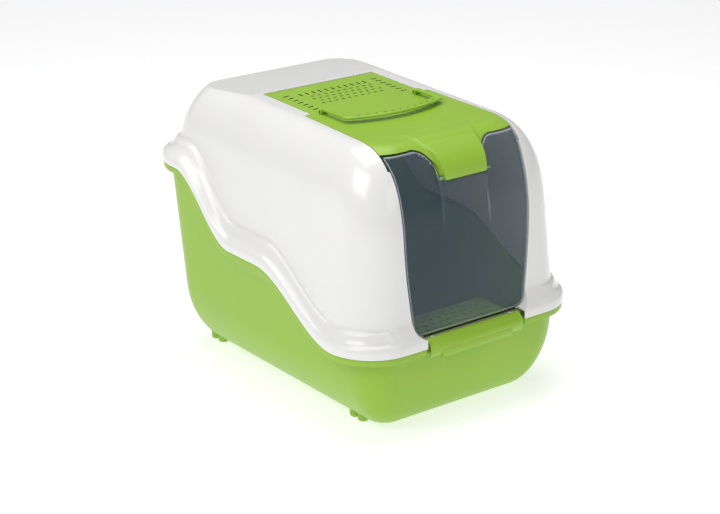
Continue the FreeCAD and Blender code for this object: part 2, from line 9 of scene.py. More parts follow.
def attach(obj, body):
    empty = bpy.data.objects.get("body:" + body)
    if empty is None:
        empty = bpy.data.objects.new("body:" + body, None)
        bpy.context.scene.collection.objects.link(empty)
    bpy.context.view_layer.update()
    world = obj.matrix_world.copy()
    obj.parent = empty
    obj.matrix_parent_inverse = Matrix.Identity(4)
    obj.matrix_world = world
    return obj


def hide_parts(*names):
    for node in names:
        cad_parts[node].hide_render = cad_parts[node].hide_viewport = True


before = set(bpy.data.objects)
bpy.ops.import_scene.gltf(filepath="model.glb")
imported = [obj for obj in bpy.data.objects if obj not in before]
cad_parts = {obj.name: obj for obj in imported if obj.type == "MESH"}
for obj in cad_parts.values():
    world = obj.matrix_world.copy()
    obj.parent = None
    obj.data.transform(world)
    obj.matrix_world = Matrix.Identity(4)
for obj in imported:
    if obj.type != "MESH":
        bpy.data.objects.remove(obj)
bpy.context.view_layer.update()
mm = 0.001

# Sizes in millimetres: floor at 0, entrance towards -Y. The rim is shared by hood and tray.
rim = {
    "half": 245.0, "front": -325.0, "rear": 330.0, "radii": (89.0, 100.0),
    "levels": (158.0, 247.0, 356.0), "frontRise": (-238.0, -28.0), "rearRise": (57.0, 219.0),
}


def smooth(t):
    t = np.clip(t, 0.0, 1.0)
    return t * t * (3 - 2 * t)


def rimLevel(y):
    low, middle, high = rim["levels"]
    a, b = rim["frontRise"]
    c, d = rim["rearRise"]
    return low + (middle - low) * smooth((y - a) / (b - a)) + (high - middle) * smooth((y - c) / (d - c))


def roundedPlan(t, a, front, rear, frontRadius, rearRadius):
    # t runs 0..1 anticlockwise from the middle of the front edge, with more of it in the corners
    marks = (0.0, 0.09, 0.17, 0.33, 0.41, 0.59, 0.67, 0.83, 0.91, 1.0)
    turn = np.radians(np.interp(t, marks, (-90, -90, 0, 0, 90, 90, 180, 180, 270, 270)))
    sides = np.interp(t, marks, (0, 1, 1, 1, 1, -1, -1, -1, -1, 0))
    depth = np.interp(t, marks, (0, 0, 0, 1, 1, 1, 1, 0, 0, 0))
    radius = frontRadius + (rearRadius - frontRadius) * depth
    x = sides * (a - radius) + radius * np.cos(turn)
    y = (front + frontRadius) * (1 - depth) + (rear - rearRadius) * depth + radius * np.sin(turn)
    return x, y


def rimPlan(t, grow=0.0):
    r1, r2 = rim["radii"]
    return roundedPlan(t, rim["half"] + grow, rim["front"] - grow, rim["rear"] + grow, r1 + grow, r2 + grow)


def frontCentre(t, half, soft):
    # 1 across the middle of the front edge, fading to 0 beyond half
    x, y = rimPlan(t)
    return (1 - smooth((np.abs(x) - half) / soft)) * (y < 0)


def catmull(knots, steps):
    # a smooth curve through the knots
    pts = [np.array(k, float) for k in knots]
    pts = [2 * pts[0] - pts[1]] + pts + [2 * pts[-1] - pts[-2]]
    out = []
    for a, b, c, d in zip(pts, pts[1:], pts[2:], pts[3:]):
        for q in np.arange(steps) / steps:
            bend, twist = 2 * a - 5 * b + 4 * c - d, 3 * b - a - 3 * c + d
            out.append(0.5 * (2 * b + (c - a) * q + bend * q * q + twist * q ** 3))
    out.append(pts[-2])
    return [tuple(p) for p in out]


# meshes
def meshObject(name, vertices, faces):
    mesh = bpy.data.meshes.new(name)
    mesh.from_pydata([tuple(v) for v in np.asarray(vertices) * mm], [], faces)
    piece = bpy.data.objects.new(name, mesh)
    bpy.context.collection.objects.link(piece)
    return piece


def outwards(piece):
    bm = bmesh.new()
    bm.from_mesh(piece.data)
    bmesh.ops.remove_doubles(bm, verts=bm.verts, dist=1e-6)
    bmesh.ops.recalc_face_normals(bm, faces=bm.faces)
    bm.to_mesh(piece.data)
    bm.free()
    return piece


def loopShell(name, rows, closed=True):
    # equal rings joined in turn; a first or last ring of one point closes the end
    count = max(len(r) for r in rows)
    vertices, starts = [], []
    for row in rows:
        starts.append(len(vertices))
        vertices.extend(row)
    faces = []
    for n in range(len(rows) - 1):
        a, b = starts[n], starts[n + 1]
        for k in range(count):
            j = (k + 1) % count
            if len(rows[n]) == 1:
                faces.append((a, b + k, b + j))
            elif len(rows[n + 1]) == 1:
                faces.append((a + k, a + j, b))
            else:
                faces.append((a + k, a + j, b + j, b + k))
    if not closed:
        faces.append(tuple(range(count)))
        faces.append(tuple(starts[-1] + k for k in range(count)))
    return outwards(meshObject(name, vertices, faces))


def sheet(name, top, under):
    # closed slab between two grids of points of the same size
    rows, columns = top.shape[:2]
    vertices = np.concatenate([top.reshape(-1, 3), under.reshape(-1, 3)])
    half = rows * columns
    faces = []
    for i in range(rows - 1):
        for j in range(columns - 1):
            a = i * columns + j
            faces.append((a, a + 1, a + columns + 1, a + columns))
            faces.append((half + a, half + a + columns, half + a + columns + 1, half + a + 1))
    edge = [j for j in range(columns)] + [i * columns + columns - 1 for i in range(1, rows)]
    edge += [(rows - 1) * columns + j for j in range(columns - 2, -1, -1)]
    edge += [i * columns for i in range(rows - 2, 0, -1)]
    for n, a in enumerate(edge):
        b = edge[(n + 1) % len(edge)]
        faces.append((a, half + a, half + b, b))
    return outwards(meshObject(name, vertices, faces))


def prism(name, outline, low, high, axis):
    # closed block: an outline in the plane across the axis, pushed from low to high
    count = len(outline)
    vertices = []
    for level in (low, high):
        for u, v in outline:
            vertices.append({"X": (level, u, v), "Y": (u, level, v), "Z": (u, v, level)}[axis])
    faces = [tuple(range(count)), tuple(range(2 * count - 1, count - 1, -1))]
    faces += [(k, (k + 1) % count, count + (k + 1) % count, count + k) for k in range(count)]
    return outwards(meshObject(name, vertices, faces))


def block(name, x0, x1, y0, y1, z0, z1):
    return prism(name, [(x0, y0), (x1, y0), (x1, y1), (x0, y1)], z0, z1, "Z")


def rod(name, radius, y, z, x0, x1, count=40):
    turns = np.arange(count) * 2 * math.pi / count
    return prism(name, [(y + radius * math.cos(a), z + radius * math.sin(a)) for a in turns], x0, x1, "X")


def settle(piece):
    # turns the piece with its modifiers into a plain mesh
    depsgraph = bpy.context.evaluated_depsgraph_get()
    mesh = bpy.data.meshes.new_from_object(piece.evaluated_get(depsgraph))
    piece.modifiers.clear()
    old = piece.data
    piece.data = mesh
    bpy.data.meshes.remove(old)
    return piece


def carve(piece, cutters, way="DIFFERENCE"):
    for cutter in cutters:
        cut = piece.modifiers.new("cut", "BOOLEAN")
        cut.operation = way
        cut.solver = "EXACT"
        cut.object = cutter
        settle(piece)
        bpy.data.objects.remove(cutter)
    return piece


def bevel(piece, width, angle=40, segments=2):
    edge = piece.modifiers.new("edge", "BEVEL")
    edge.width = width * mm
    edge.segments = segments
    edge.limit_method = "ANGLE"
    edge.angle_limit = math.radians(angle)
    edge.use_clamp_overlap = True
    return settle(piece)


def shade(piece, angle=35):
    bpy.context.view_layer.objects.active = piece
    for other in bpy.context.selected_objects:
        other.select_set(False)
    piece.select_set(True)
    bpy.ops.object.shade_smooth_by_angle(angle=math.radians(angle))
    piece.select_set(False)
    return piece


def mark(piece, name, domain, amounts):
    # stores one number per face or per point for the material to use
    layer = piece.data.attributes.new(name, "FLOAT", domain)
    layer.data.foreach_set("value", np.asarray(amounts, dtype=np.float32))
    return piece


def joined(piece, extras):
    bm = bmesh.new()
    bm.from_mesh(piece.data)
    for extra in extras:
        bm.from_mesh(extra.data)
        bpy.data.objects.remove(extra)
    bm.to_mesh(piece.data)
    bm.free()
    return piece


def mirrored(make):
    # a small solid and its mirror image across the middle of the box
    right = make()
    left = right.copy()
    left.data = right.data.copy()
    left.data.transform(Matrix.Scale(-1, 4, (1, 0, 0)))
    bpy.context.collection.objects.link(left)
    return [right, outwards(left)]


# nodes
class Value:
    # a socket that takes part in Python arithmetic by adding Math nodes
    def __init__(self, tree, socket):
        self.tree = tree
        self.socket = socket

    def op(self, operation, other=None, flip=False):
        pair = [self, other] if not flip else [other, self]
        node = addNode(self.tree, "ShaderNodeMath", {"operation": operation}, {
            n: item for n, item in enumerate(pair) if item is not None
        })
        return Value(self.tree, node.outputs[0])

    def __add__(self, other):
        return self.op("ADD", other)

    def __radd__(self, other):
        return self.op("ADD", other, True)

    def __sub__(self, other):
        return self.op("SUBTRACT", other)

    def __rsub__(self, other):
        return self.op("SUBTRACT", other, True)

    def __mul__(self, other):
        return self.op("MULTIPLY", other)

    def __rmul__(self, other):
        return self.op("MULTIPLY", other, True)

    def __truediv__(self, other):
        return self.op("DIVIDE", other)


def addNode(tree, kind, settings, inputs):
    node = tree.nodes.new(kind)
    for key, setting in settings.items():
        setattr(node, key, setting)
    for key, item in inputs.items():
        item = item.socket if isinstance(item, Value) else item
        if isinstance(item, bpy.types.NodeSocket):
            tree.links.new(item, node.inputs[key])
        else:
            node.inputs[key].default_value = item
    return node


# rows of slots and holes
def punchTree():
    tree = bpy.data.node_groups.new("punchRows", "GeometryNodeTree")
    face = tree.interface
    sockets = {}
    for name, kind, start in (
        ("Columns", "Int", 1), ("Rows", "Int", 1), ("Pitch Across", "Float", 0.01),
        ("Pitch Along", "Float", 0.01), ("Stagger", "Float", 0.0), ("Bow", "Float", 0.0),
        ("Length", "Float", 0.009), ("Width", "Float", 0.003), ("Turn", "Float", 0.0),
        ("Depth", "Float", 0.01), ("Centre", "Vector", (0, 0, 0)), ("Finish", "Material", None),
    ):
        socket = face.new_socket(name, in_out="INPUT", socket_type="NodeSocket" + kind)
        if start is not None:
            socket.default_value = start
        sockets[name] = socket.identifier
    face.new_socket("Geometry", in_out="OUTPUT", socket_type="NodeSocketGeometry")
    given = tree.nodes.new("NodeGroupInput").outputs

    def g(kind, settings, inputs):
        return addNode(tree, kind, settings, inputs)

    def v(name):
        return Value(tree, given[name])

    columns, rows = v("Columns"), v("Rows")
    width, depth = v("Width"), v("Depth")
    grid = g("GeometryNodeMeshGrid", {}, {
        "Size X": (columns - 1) * v("Pitch Across"), "Size Y": (rows - 1) * v("Pitch Along"),
        "Vertices X": columns, "Vertices Y": rows,
    })
    place = g("GeometryNodeInputPosition", {}, {})
    split = g("ShaderNodeSeparateXYZ", {}, {0: place.outputs[0]})
    x, y = Value(tree, split.outputs[0]), Value(tree, split.outputs[1])
    rowNumber = (y / v("Pitch Along") + (rows - 1) * 0.5 + 0.25).op("FLOOR")
    halfSpan = (columns - 1) * v("Pitch Across") * 0.5 + 0.0001
    share = x / halfSpan
    shift = g("ShaderNodeCombineXYZ", {}, {
        0: rowNumber.op("MODULO", 2.0) * v("Stagger"), 1: v("Bow") * (share * share - 1),
    })
    moved = g("GeometryNodeSetPosition", {}, {"Geometry": grid.outputs["Mesh"], "Offset": shift.outputs[0]})
    outline = g("GeometryNodeCurvePrimitiveQuadrilateral", {}, {"Width": v("Length"), "Height": width})
    rounded = g("GeometryNodeFilletCurve", {"mode": "POLY"}, {
        "Curve": outline.outputs[0], "Radius": width * 0.499, "Count": 5,
    })
    top = g("ShaderNodeCombineXYZ", {}, {2: depth * 0.5})
    low = g("ShaderNodeCombineXYZ", {}, {2: depth * -0.5})
    stem = g("GeometryNodeCurvePrimitiveLine", {}, {"Start": low.outputs[0], "End": top.outputs[0]})
    punch = g("GeometryNodeCurveToMesh", {}, {
        "Curve": stem.outputs[0], "Profile Curve": rounded.outputs[0], "Fill Caps": True,
    })
    turn = g("ShaderNodeCombineXYZ", {}, {2: v("Turn")})
    copies = g("GeometryNodeInstanceOnPoints", {}, {
        "Points": moved.outputs[0], "Instance": punch.outputs[0], "Rotation": turn.outputs[0],
    })
    placed = g("GeometryNodeTransform", {}, {"Geometry": copies.outputs[0], "Translation": given["Centre"]})
    real = g("GeometryNodeRealizeInstances", {}, {"Geometry": placed.outputs[0]})
    finish = g("GeometryNodeSetMaterial", {}, {"Geometry": real.outputs[0], "Material": given["Finish"]})
    addNode(tree, "NodeGroupOutput", {}, {0: finish.outputs[0]})
    return tree, sockets


punches, punchInputs = punchTree()


def punchRows(name, settings):
    # settings: sizes in millimetres, Turn in degrees
    piece = bpy.data.objects.new(name, bpy.data.meshes.new(name))
    bpy.context.collection.objects.link(piece)
    rows = piece.modifiers.new("rows", "NODES")
    rows.node_group = punches
    for key, value in settings.items():
        if key in ("Columns", "Rows"):
            rows[punchInputs[key]] = int(value)
        elif key == "Turn":
            rows[punchInputs[key]] = math.radians(value)
        elif key == "Centre":
            rows[punchInputs[key]] = [c * mm for c in value]
        else:
            rows[punchInputs[key]] = value * mm
    return settle(piece)


# finishes
def newMaterial(name):
    material = bpy.data.materials.new(name)
    material.use_nodes = True
    tree = material.node_tree
    tree.nodes.clear()
    place = addNode(tree, "ShaderNodeTexCoord", {}, {})
    return material, tree, place.outputs["Object"]


def noiseOn(tree, place, scale, detail=2.0, rough=0.5):
    node = addNode(tree, "ShaderNodeTexNoise", {}, {
        "Vector": place, "Scale": scale, "Detail": detail, "Roughness": rough,
    })
    return Value(tree, node.outputs["Fac"])


def mixColours(tree, share, first, second):
    node = addNode(tree, "ShaderNodeMix", {"data_type": "RGBA"}, {0: share, 6: first, 7: second})
    return node.outputs[2]


def bumpOn(tree, height, strength, distance):
    node = addNode(tree, "ShaderNodeBump", {}, {
        "Height": height, "Strength": strength, "Distance": distance,
    })
    return node.outputs[0]


def surface(tree, inputs):
    shader = addNode(tree, "ShaderNodeBsdfPrincipled", {}, inputs)
    addNode(tree, "ShaderNodeOutputMaterial", {}, {"Surface": shader.outputs[0]})


def marked(tree, name):
    node = addNode(tree, "ShaderNodeAttribute", {"attribute_name": name}, {})
    return Value(tree, node.outputs["Fac"])


# "gap" is no colour of the plastic itself: it is painted shade, near black, laid on faces carrying the
# "shaded" mark
finishes = {
    "green": {
        "light": (0.33, 0.56, 0.045, 1), "deep": (0.295, 0.51, 0.035, 1), "gap": (0.012, 0.022, 0.004, 1),
        "rough": 0.36, "grain": 1500.0, "coat": 0.0,
    },
    "white": {
        "light": (0.86, 0.855, 0.84, 1), "deep": (0.83, 0.825, 0.81, 1), "gap": (0.012, 0.012, 0.012, 1),
        "rough": 0.2, "grain": 900.0, "coat": 0.4,
    },
}


def mouldedPlastic(name, kind):
    look = finishes[kind]
    material, tree, place = newMaterial(name)
    clouds = noiseOn(tree, place, 9.0, 3.0)
    grain = noiseOn(tree, place, look["grain"], 2.0)
    flow = noiseOn(tree, place, 26.0, 1.0)
    tone = (clouds * 1.4 - 0.2 + (grain - 0.5) * 0.3).op("MINIMUM", 1.0)
    colour = mixColours(tree, tone, look["deep"], look["light"])
    # painted shade: faces marked "shaded" take the near-black gap colour in place of the shade inside slots
    # and gaps
    colour = mixColours(tree, marked(tree, "shaded"), colour, look["gap"])
    rough = look["rough"] + (clouds - 0.5) * 0.10 + (grain - 0.5) * 0.12
    relief = grain * 0.12 + flow * 1.0
    surface(tree, {
        "Base Color": colour, "Roughness": rough, "Coat Weight": look["coat"], "Coat Roughness": 0.07,
        "Normal": bumpOn(tree, relief, 0.18, 0.0004), "IOR": 1.49,
    })
    return material


def smokedPlastic():
    material, tree, place = newMaterial("smokedClearPlastic")
    clouds = noiseOn(tree, place, 7.0, 2.0)
    waves = noiseOn(tree, place, 16.0, 1.0)
    # painted highlight: points marked "edge" turn pale and more opaque, in place of the light caught along
    # the door's edges and the band's creases
    edge = marked(tree, "edge")
    colour = mixColours(tree, clouds, (0.11, 0.16, 0.25, 1), (0.15, 0.19, 0.28, 1))
    colour = mixColours(tree, edge, colour, (0.62, 0.68, 0.74, 1))
    surface(tree, {
        "Base Color": colour, "Roughness": 0.05 + clouds * 0.05, "Alpha": 0.18 + clouds * 0.05 + edge * 0.5,
        "Normal": bumpOn(tree, waves, 0.12, 0.0005), "IOR": 1.52,
    })
    return material


def filterFoam():
    material, tree, place = newMaterial("carbonFoam")
    cells = addNode(tree, "ShaderNodeTexVoronoi", {}, {"Vector": place, "Scale": 420.0})
    pores = Value(tree, cells.outputs["Distance"])
    colour = mixColours(tree, pores, (0.004, 0.004, 0.004, 1), (0.03, 0.03, 0.032, 1))
    surface(tree, {
        "Base Color": colour, "Roughness": 0.85 + pores * 0.1, "Normal": bumpOn(tree, pores, 0.9, 0.001),
    })
    return material


def blackPlastic():
    material, tree, place = newMaterial("blackFramePlastic")
    grain = noiseOn(tree, place, 1200.0)
    clouds = noiseOn(tree, place, 20.0)
    colour = mixColours(tree, clouds, (0.012, 0.012, 0.012, 1), (0.025, 0.025, 0.026, 1))
    surface(tree, {
        "Base Color": colour, "Roughness": 0.4 + grain * 0.2, "Normal": bumpOn(tree, grain, 0.2, 0.0003),
    })
    return material


def paleFloor():
    material, tree, place = newMaterial("paleFloor")
    clouds = noiseOn(tree, place, 0.8)
    colour = mixColours(tree, clouds, (0.60, 0.60, 0.603, 1), (0.62, 0.62, 0.623, 1))
    surface(tree, {
        "Base Color": colour, "Roughness": 0.9, "Specular IOR Level": 0.1, "Emission Color": (1, 1, 1, 1),
        "Emission Strength": 0.63,
    })
    return material


greenPlastic = mouldedPlastic("greenPlastic", "green")
whitePlastic = mouldedPlastic("whitePlastic", "white")
smoked = smokedPlastic()
foam = filterFoam()
blackFrame = blackPlastic()


def finishPiece(piece, material, body, node):
    piece.data.materials.clear()
    piece.data.materials.append(material)
    for polygon in piece.data.polygons:
        polygon.material_index = 0
    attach(piece, body)
    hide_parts(node)
    print(piece.name, len(piece.data.polygons), "faces")
    return piece


# hood
hoodShape = {
    "side": (15.0, 34.0, 55.0, 0.70), "front": (19.5, 20.0, 66.0, 0.53), "rear": (19.0, 14.0, 52.0, 0.65),
    "radius": 78.0, "rearRadiusLess": 8.0, "wall": 2.4, "stepEnd": 168.0, "latchBay": 107.0,
    "roof": 490.0, "roofSlope": 0.0234, "roofPivot": -29.0, "turns": 336,
    "fallStart": 127.0, "roofFall": 0.055,
}


def roofLevel(y):
    return hoodShape["roof"] + hoodShape["roofSlope"] * (y - hoodShape["roofPivot"])


def shoulder(s, sizes):
    inset, lean, reach, start = sizes
    u = np.clip((s - start) / (1 - start), 0, 1)
    return inset + lean * s + reach * (1 - np.sqrt(1 - u * u))


def hoodLimits(s, grow=0.0):
    # half width, front, rear and corner radius of the hood at height share s
    u = np.clip((s - 0.7) / 0.3, 0, 1)
    radius = hoodShape["radius"] - 12 * s - 10 * (1 - np.sqrt(1 - u * u)) + grow
    a = rim["half"] - shoulder(s, hoodShape["side"]) + grow
    front = rim["front"] + shoulder(s, hoodShape["front"]) - grow
    rear = rim["rear"] - shoulder(s, hoodShape["rear"]) + grow
    return a, front, rear, radius


def hoodPlan(t, s, grow=0.0):
    a, front, rear, radius = hoodLimits(s, grow)
    return roundedPlan(t, a, front, rear, radius, radius - hoodShape["rearRadiusLess"])


def hoodTilt(s, y):
    return hoodShape["roofSlope"] * np.clip(s, 0, 1) ** 6 * (y - hoodShape["roofPivot"])


def underFall(y, grow=0.0):
    # the roof's level behind the lid, where it falls away
    start = hoodShape["fallStart"]
    return roofLevel(start) + grow - hoodShape["roofFall"] * (y - start)


def outsideHood(x, y, z):
    rise = hoodShape["roof"] - rim["levels"][0]
    s = (z - rim["levels"][0]) / rise
    for _ in range(5):
        s = (z - rim["levels"][0] - hoodTilt(s, y)) / rise
    a, front, rear, radius = hoodLimits(np.clip(s, 0, 1))
    radius = np.where(y > 0, radius - hoodShape["rearRadiusLess"], radius)
    dx = np.maximum(np.abs(x) - (a - radius), 0)
    dy = np.maximum(np.where(y > 0, y - (rear - radius), front + radius - y), 0)
    return (s > 1) | (np.hypot(dx, dy) > radius)


def castToHood(start, way, reach):
    # distance along each ray from inside the hood to its outer surface
    near, far = np.zeros(len(start)), np.full(len(start), float(reach))
    for _ in range(30):
        middle = (near + far) / 2
        out = outsideHood(*(start + way * middle[:, None]).T)
        far = np.where(out, middle, far)
        near = np.where(out, near, middle)
    return near


def hoodRow(t, k, h):
    # k goes from the rim's outline (0) to the wall (1); h is the height above the parting line
    rx, ry = rimPlan(t)
    z = rimLevel(ry) + h
    wx, wy = hoodPlan(t, (z - rim["levels"][0]) / (hoodShape["roof"] - rim["levels"][0]))
    return np.stack([rx + (wx - rx) * k, ry + (wy - ry) * k, z + 0 * rx], axis=1)


def hoodWallRows(t, grow, startHeight):
    rise = hoodShape["roof"] - rim["levels"][0]
    _, ry = rimPlan(t)
    start = (rimLevel(ry) + startHeight - rim["levels"][0]) / rise
    rows = []
    for q in np.linspace(0, 1, 34):
        s = start + (1 - start) * math.sin(q * math.pi / 2)
        x, y = hoodPlan(t, s, grow)
        z = rim["levels"][0] + s * (rise + grow) + hoodTilt(s, y)
        rows.append(np.stack([x, y, np.minimum(z, underFall(y, grow))], axis=1))
    return rows


def roofRows(edge, shares, centreY, grow):
    rows = []
    for share in shares:
        row = edge.copy()
        row[:, 0] *= share
        row[:, 1] = centreY + (edge[:, 1] - centreY) * share
        row[:, 2] = np.minimum(roofLevel(row[:, 1]) + grow, underFall(row[:, 1], grow))
        rows.append(row)
    return rows


def makeHood():
    t = np.arange(hoodShape["turns"]) / hoodShape["turns"]
    bead = [
        (0.14, 13.0), (0.12, 1.2), (0.085, 0.2), (0.04, 0.1), (0.012, 1.0), (0.0, 3.0), (0.0, 6.5),
        (0.004, 10.0), (0.025, 13.4), (0.07, 16.2), (0.14, 18.2), (0.24, 19.6), (0.36, 21.0), (0.47, 23.0),
    ]
    stepped = [
        (0.56, 26.0), (0.63, 29.6), (0.68, 33.0), (0.715, 35.4), (0.755, 37.2), (0.81, 38.3), (0.87, 38.9),
        (0.93, 39.5), (0.975, 41.2), (1.0, 45.0), (1.0, 50.0),
    ]
    plain = [
        (0.56, 25.4), (0.65, 28.0), (0.73, 30.6), (0.80, 33.2), (0.86, 35.8), (0.905, 38.2), (0.94, 40.5),
        (0.965, 42.8), (0.985, 45.0), (0.995, 47.5), (1.0, 50.0),
    ]
    flat = frontCentre(t, hoodShape["stepEnd"], 14.0)
    rows = [hoodRow(t, k, h) for k, h in bead]
    for (k1, h1), (k2, h2) in zip(stepped, plain):
        rows.append(hoodRow(t, k1 + (k2 - k1) * flat, h1 + (h2 - h1) * flat))
    outer = hoodWallRows(t, 0.0, 56.0)
    inner = hoodWallRows(t, -hoodShape["wall"], 14.0)
    shares = (0.97, 0.92, 0.86, 0.80, 0.72, 0.64, 0.56, 0.48, 0.36, 0.26, 0.12)
    centre = 18.0
    top = roofRows(outer[-1], shares, centre, 0.0)
    under = roofRows(inner[-1], shares, centre, -hoodShape["wall"])
    poles = [np.array([[0, centre, part[-1][:, 2].mean()]]) for part in (top, under)]
    rows = rows + outer + top + [poles[0]]
    inside = inner + under + [poles[1]]
    hood = loopShell("hoodShell", inside[::-1] + rows)
    carve(hood, [doorwayCutter(), lidCutter(lidShape["gap"], doorShape["top"] - 20), bayCutter()])
    low, high = doorShape["bottom"] - 9, doorShape["bottom"] - doorShape["gap"] + 0.1
    # painted shade: the hood's sill faces under the door are marked to take the near-black gap colour, in
    # place of the shade in the slot between door and latch
    shaded = []
    for face in hood.data.polygons:
        x, y, z = face.center / mm
        underDoor = abs(x) < latchShape["half"] and y < rim["front"] + 35 and low < z < high
        shaded.append(1.0 if underDoor else 0.0)
    return mark(hood, "shaded", "FACE", shaded)


def doorCurve(z):
    # the doorway's half width: a smooth curve through its few sizes
    heights, halves = np.array(doorShape["edgeHeights"]), np.array(doorShape["edgeHalves"])
    fit = np.polynomial.Polynomial.fit(heights, halves, 4)
    return fit(z)


def doorHalf(z):
    # the door's half width, with its rounded lower corners
    limit = doorShape["bottom"] + doorShape["corner"]
    half = doorCurve(max(z, limit))
    if z < limit:
        half -= doorShape["corner"] - math.sqrt(max(0.0, doorShape["corner"] ** 2 - (limit - z) ** 2))
    return half


def doorwayOutline(grow, top):
    low = doorShape["bottom"] - grow
    corner = doorShape["corner"] + grow
    side = []
    foot = doorCurve(doorShape["bottom"] + doorShape["corner"]) + grow
    for a in np.linspace(-90, 0, 13):
        r = math.radians(a)
        side.append((foot - corner + corner * math.cos(r), low + corner + corner * math.sin(r)))
    for z in np.linspace(low + corner, doorShape["top"], 40)[1:]:
        side.append((doorCurve(z) + grow, z))
    if top > doorShape["top"]:
        side.append((side[-1][0], top))
    return side + [(-x, z) for x, z in reversed(side)]


def doorwayCutter():
    return prism("doorway", doorwayOutline(doorShape["gap"], doorShape["top"] + 7), -400, -150, "Y")


def lidPlanOutline(grow):
    side = [
        (lidShape["narrow"] + grow, lidShape["rear"] + grow),
        (lidShape["narrow"] + grow, lidShape["step"] + grow),
        (lidShape["wide"] + grow, lidShape["step"] + grow), (lidShape["front"] + grow, rim["front"] + 80),
        (lidShape["front"] + grow, rim["front"]),
    ]
    return side + [(-x, y) for x, y in reversed(side)]


def lidCutter(grow, low):
    return prism("lidOpening", lidPlanOutline(grow), low, 600, "Z")


def bayCutter():
    bay = hoodShape["latchBay"]
    return block("latchBay", -bay, bay, -400, rim["front"] + hoodShape["front"][0] - 0.9, 100, 300)


def makeHoodFittings():
    # sill rib, lid ledges, hinge sockets and latch ears
    front = rim["front"] + hoodShape["front"][0]
    level = rim["levels"][0]
    bay = hoodShape["latchBay"] + 8
    parts = [block("rib", -bay, bay, front + 1, front + 10, level + 1, level + 9)]
    low, top = -2 * lidShape["wall"] - 0.4, -lidShape["wall"] - 0.4
    for inner, outer, y0, y1 in ((112.0, 126.0, -12.0, 103.0), (126.0, 147.0, -190.0, -28.0)):
        near, far = roofLevel(y0), roofLevel(y1)
        ledge = [(y0, near + low), (y1, far + low), (y1, far + top), (y0, near + top)]
        parts += mirrored(lambda: prism("ledge", ledge, inner, outer, "X"))
    y, z = hingeLine()
    parts += mirrored(lambda: block("socket", 120.5, 130.5, y - 6, y + 6, z - 6, z + 1.5))
    ear = latchShape["ear"]
    for x in (ear, -ear - 6):
        axisY, axisZ = latchShape["axisY"], latchShape["axisZ"]
        parts.append(rod("earEye", latchShape["barrel"], axisY, axisZ, x, x + 6))
        parts.append(block("earArm", x, x + 6, axisY, front + 1.5, level + 6.5, level + 12.5))
    return [bevel(p, 0.5) for p in parts]


def hingeLine():
    y = lidShape["rear"] - lidShape["barrel"]
    return y, roofLevel(y) - lidShape["barrel"]


# tray
trayShape = {
    "side": (39.0, 22.5, 56.0), "front": (25.0, 22.0, 45.0), "rear": (58.0, 33.0, 22.0),
    "radius": 52.0, "floor": 8.0, "bottomShare": 0.32, "lipIn": 6.0, "wall": 2.4,
    "footX": 152.0, "footY": (-198.0, 229.0), "footSpread": 11.0, "footRadius": 10.0, "footTop": 22.0,
}


def trayLimits(share, grow=0.0):
    w = np.clip(1 - share / trayShape["bottomShare"], 0, 1)
    quarter = 1 - np.sqrt(1 - w * w)
    side, front, rear = trayShape["side"], trayShape["front"], trayShape["rear"]
    a = rim["half"] - side[0] + side[1] * share - side[2] * (w * w + quarter) / 2 + grow
    low = rim["front"] + front[0] - front[1] * share + front[2] * quarter - grow
    high = rim["rear"] - rear[0] + rear[1] * share - rear[2] * w ** 3 + grow
    return a, low, high, trayShape["radius"] + 18 * share - 22 * w * w + grow


def trayRow(t, share, grow):
    a, front, rear, radius = trayLimits(share, grow)
    x, y = roundedPlan(t, a, front, rear, radius, radius)
    floor = trayShape["floor"] - grow
    z = floor + share * (rim["levels"][2] - trayShape["floor"] + grow)
    return np.stack([x, y, z + 0 * x], axis=1)


def trayShare(t, h):
    _, ry = rimPlan(t)
    return (rimLevel(ry) + h - trayShape["floor"]) / (rim["levels"][2] - trayShape["floor"])


def trayRim(t, grow, h, k=0.0):
    rx, ry = rimPlan(t, grow)
    z = rimLevel(rimPlan(t)[1]) + h
    wall = trayRow(t, trayShare(t, h), 0.0)
    y = ry + trayShape["lipIn"] * frontCentre(t, hoodShape["latchBay"] - 2, 3.0) * (1 - k)
    return np.stack([rx + (wall[:, 0] - rx) * k, y + (wall[:, 1] - y) * k, z + 0 * rx], axis=1)


